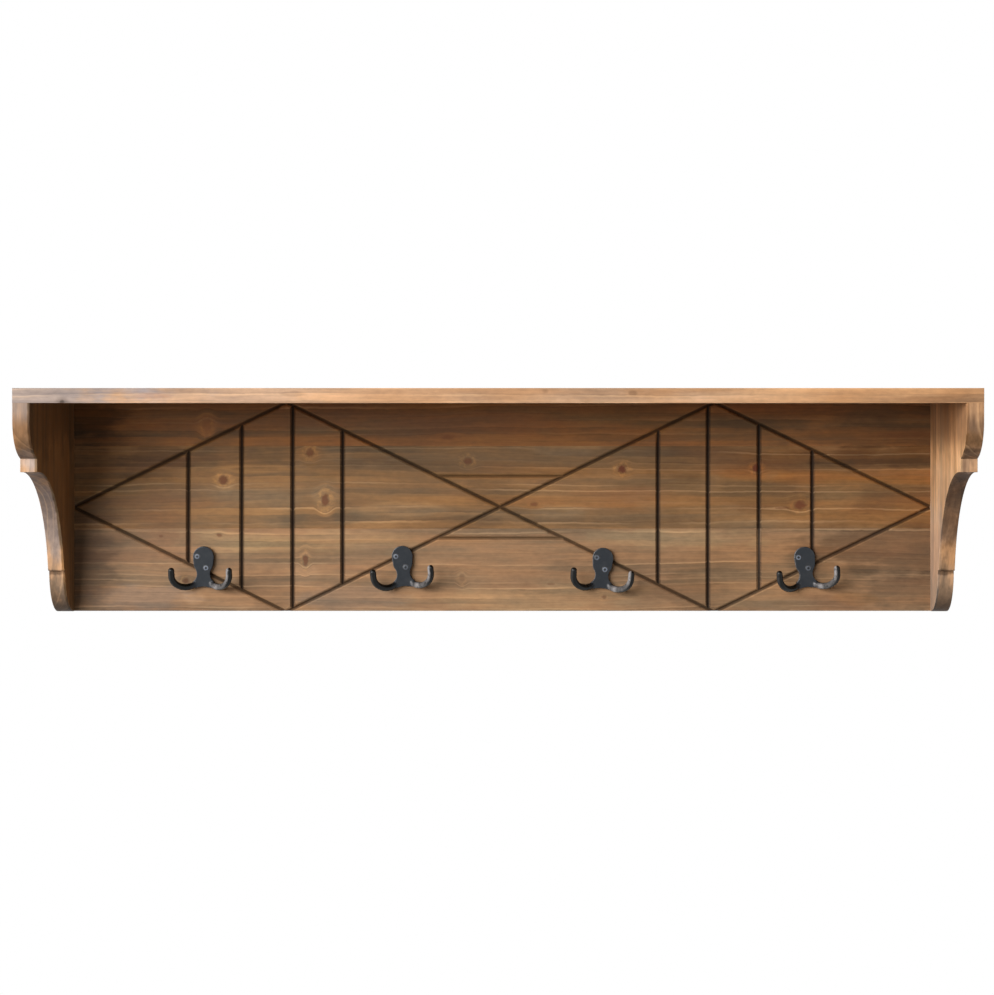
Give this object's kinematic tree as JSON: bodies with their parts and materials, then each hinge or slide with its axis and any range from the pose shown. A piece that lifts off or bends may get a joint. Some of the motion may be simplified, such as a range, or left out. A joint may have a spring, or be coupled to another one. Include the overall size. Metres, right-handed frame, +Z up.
{
  "type": "wall shelf with hooks",
  "caption": "Wooden wall shelf on scroll-cut brackets, its back panel routed with a diamond groove pattern and carrying cast double coat hooks.",
  "frame": {"origin": "on the wall plane, midway between the entries of the two keyhole hangers", "axes": "+X to the right along the shelf as seen from the room, +Y into the wall, +Z up"},
  "size_m": [0.915, 0.177, 0.228],
  "materials": {
    "shelf_wood": "stained softwood, satin",
    "bracket_wood": "stained softwood, satin",
    "panel_wood": "stained softwood, satin",
    "black_iron": "black powder coat, fine texture",
    "black_screw": "black oxide",
    "dowel_wood": "plain beech",
    "zinc_steel": "zinc plated"
  },
  "bodies": {
    "root": {"shelf_board": "shelf_wood", "left_bracket": "bracket_wood", "right_bracket": "bracket_wood", "back_board_upper": "panel_wood", "back_board_middle": "panel_wood", "back_board_lower": "panel_wood", "coat_hook_1": "black_iron", "hook_screws_1": "black_screw", "coat_hook_2": "black_iron", "hook_screws_2": "black_screw", "coat_hook_3": "black_iron", "hook_screws_3": "black_screw", "coat_hook_4": "black_iron", "hook_screws_4": "black_screw", "shelf_dowels_left": "dowel_wood", "shelf_dowels_right": "dowel_wood", "panel_dowels_left": "dowel_wood", "panel_dowels_right": "dowel_wood", "top_dowels": "dowel_wood", "keyhole_plate_left": "zinc_steel", "keyhole_plate_right": "zinc_steel", "plate_screws_left": "zinc_steel", "plate_screws_right": "zinc_steel"}
  },
  "joints": []
}
